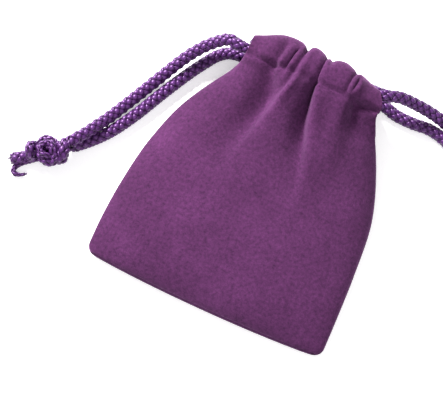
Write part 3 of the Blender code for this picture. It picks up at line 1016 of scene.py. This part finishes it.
def allowance_strips(grid, index, y, seam_height, side):
    """The turned-in edges at both sides and the bottom: (edge's indices, points, flip)."""
    inwards = np.linspace(0, SEAM_ALLOWANCE, ALLOWANCE_SHARES)[1:, None]
    rows = int(np.searchsorted(y, ALLOWANCE_TOP_Y))
    near_corner = np.clip(1 - (y[:rows] - BOTTOM_Y) / CORNER_TUCK, 0, 1)
    level = between(y[:rows], seam_height) + side * HALF_CLOTH
    strips = []
    for column, sign in ((0, 1), (grid.shape[1] - 1, -1)):
        strip = allowance(grid[:rows, column].copy(), np.array([sign, 0, 0.0]), level)
        strip[..., 1] += inwards * near_corner
        strips.append((index[:rows, column], strip, sign * side > 0))
    level = between(np.array(BOTTOM_Y), seam_height) + side * HALF_CLOTH
    strip = allowance(grid[0].copy(), np.array([0, 1.0, 0]), level)
    middle = (grid[0, 0, 0] + grid[0, -1, 0]) / 2
    strip[..., 0] = middle + (strip[..., 0] - middle) * (1 - inwards / BOTTOM_TAPER)
    strips.append((index[0], strip, side < 0))
    return strips


def velvet_sheet(name, body, casing, seam_height, side, material, nodes):
    """One cut of velvet: allowances, body, casing and hem, as one continuous sheet."""
    s = spread_rows(-1, 1, SHEET_COLUMNS, COLUMN_CROWDING)
    y = spread_rows(BOTTOM_Y, STITCH_Y, BODY_ROWS, ROW_CROWDING)
    x, z = body(s[None, :], y[:, None])
    main = np.stack([x, y[:, None] - bottom_bulge(s[None, :], y[:, None]), z], axis=-1)
    main = rounded_corners(main, s, y)
    grid = np.concatenate([main, casing(main[-1])[1:]], axis=0)
    vertices = [grid.reshape(-1, 3)]
    count = len(vertices[0])
    index = np.arange(count).reshape(grid.shape[:2])
    faces = quads_of(index)
    faces = faces[~open_ends(grid).ravel()[faces].any(axis=1)]
    for edge_index, strip, flip in allowance_strips(grid, index, y, seam_height, side):
        own = count + np.arange(strip.shape[0] * strip.shape[1]).reshape(strip.shape[:2])
        count += own.size
        quads = quads_of(np.concatenate([edge_index[None, :], own]))
        faces = np.concatenate([faces, quads[:, ::-1] if flip else quads])
        vertices.append(strip.reshape(-1, 3))
    if side < 0:
        faces = faces[:, ::-1]
    points = np.concatenate(vertices)
    used = np.zeros(len(points), bool)
    used[faces.ravel()] = True
    renumber = np.cumsum(used) - 1
    sheet = mesh_object(name, points[used] * MM, renumber[faces].tolist(), material)
    thick = sheet.modifiers.new("cloth", "SOLIDIFY")
    thick.thickness = CLOTH * MM
    thick.offset = 0
    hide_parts(*nodes)
    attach(sheet, "pouch")


# ---------------------------------------------------------------- the stitches, in millimetres

STITCH = 2.1
STITCH_GAP = 0.7
THREAD_RADIUS = 0.2
THREAD_SINK = 0.17  # how deep the hem's thread lies in the cloth
THREAD_INSET = 0.35  # how far in from the edge the side and bottom threads lie
BOTTOM_HALF_WIDTH = 45.0
BOTTOM_MIDDLE_X = -0.6


def stitched_line(name, line, nodes, material):
    """Machine stitches along a line: short threads that thin out at each end."""
    points = smooth_curve(line, 0.1)
    along = distances_along(points)
    tubes = Tubes()
    around = ring_angles(6)
    q = np.linspace(0, 1, 7)
    radii = THREAD_RADIUS * (0.55 + 0.45 * np.sin(math.pi * q))
    for start in np.arange(0, along[-1] - STITCH, STITCH + STITCH_GAP):
        at = start + q * STITCH
        middle = np.stack([np.interp(at, along, points[:, k]) for k in range(3)], 1)
        rings = round_rings(middle, side_frames(middle), radii, around)
        uvs = grid_uvs(q * STITCH, around)
        tubes.add(rings * MM, uvs, np.full(rings.shape[:2], 0.7))
    stitches = tubes.object(name, material)
    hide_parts(*nodes)
    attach(stitches, "pouch")


def add_stitches(material):
    s = np.linspace(-0.97, 0.97, 60)
    for side, body, sign in (("front", front_body, 1), ("back", back_body, -1)):
        x, z = body(s, np.full_like(s, STITCH_Y))
        z = np.maximum(z + sign * (HALF_CLOTH - THREAD_SINK), THREAD_RADIUS)
        line = np.stack([x, np.full_like(s, STITCH_Y + 0.05), z], axis=1)
        stitched_line(side + "_casing_stitches", line, [side + "_casing_stitching"], material)
    y = np.linspace(BOTTOM_Y + 4.5, 30.5, 50)
    for side, edge, sign in (("left", LEFT_EDGE, 1), ("right", RIGHT_EDGE, -1)):
        x = between(y, edge) + sign * THREAD_INSET
        line = np.stack([x, y, between(y, FRONT_SEAM_Z)], axis=1)
        stitched_line(side + "_side_stitches", line, [side + "_side_stitching"], material)
    s = np.linspace(-0.9, 0.9, 50)
    x = BOTTOM_HALF_WIDTH * s + BOTTOM_MIDDLE_X
    y = BOTTOM_Y - bottom_bulge(s, BOTTOM_Y) + THREAD_INSET
    line = np.stack([x, y, np.full_like(s, FRONT_SEAM_Z[0][1])], axis=1)
    stitched_line("bottom_stitches", line, ["bottom_stitching"], material)


def add_velvet():
    velvet = velvet_material(
        "purple_velvet", low=(0.060, 0.0145, 0.061), high=(0.082, 0.0205, 0.083), sheen=0.35
    )
    velvet_sheet(
        "front_velvet", front_body, front_casing, FRONT_SEAM_Z, 1, velvet,
        ("front_panel", "front_casing", "left_seam_allowance", "right_seam_allowance"),
    )
    velvet_sheet(
        "back_velvet", back_body, back_casing, BACK_SEAM_Z, -1, velvet,
        ("back_panel", "back_casing", "bottom_seam_allowance"),
    )


add_camera()
add_studio()
add_floor()
satin = satin_material(
    "purple_satin_braid",
    low=(0.014, 0.002, 0.023),
    high=(0.080, 0.022, 0.125),
    roughness=0.34,
    gloss=0.65,
)
add_cords(satin)
add_velvet()
thread = satin_material(
    "purple_thread",
    low=(0.020, 0.005, 0.020),
    high=(0.030, 0.008, 0.030),
    roughness=0.9,
    gloss=0.05,
)
add_stitches(thread)
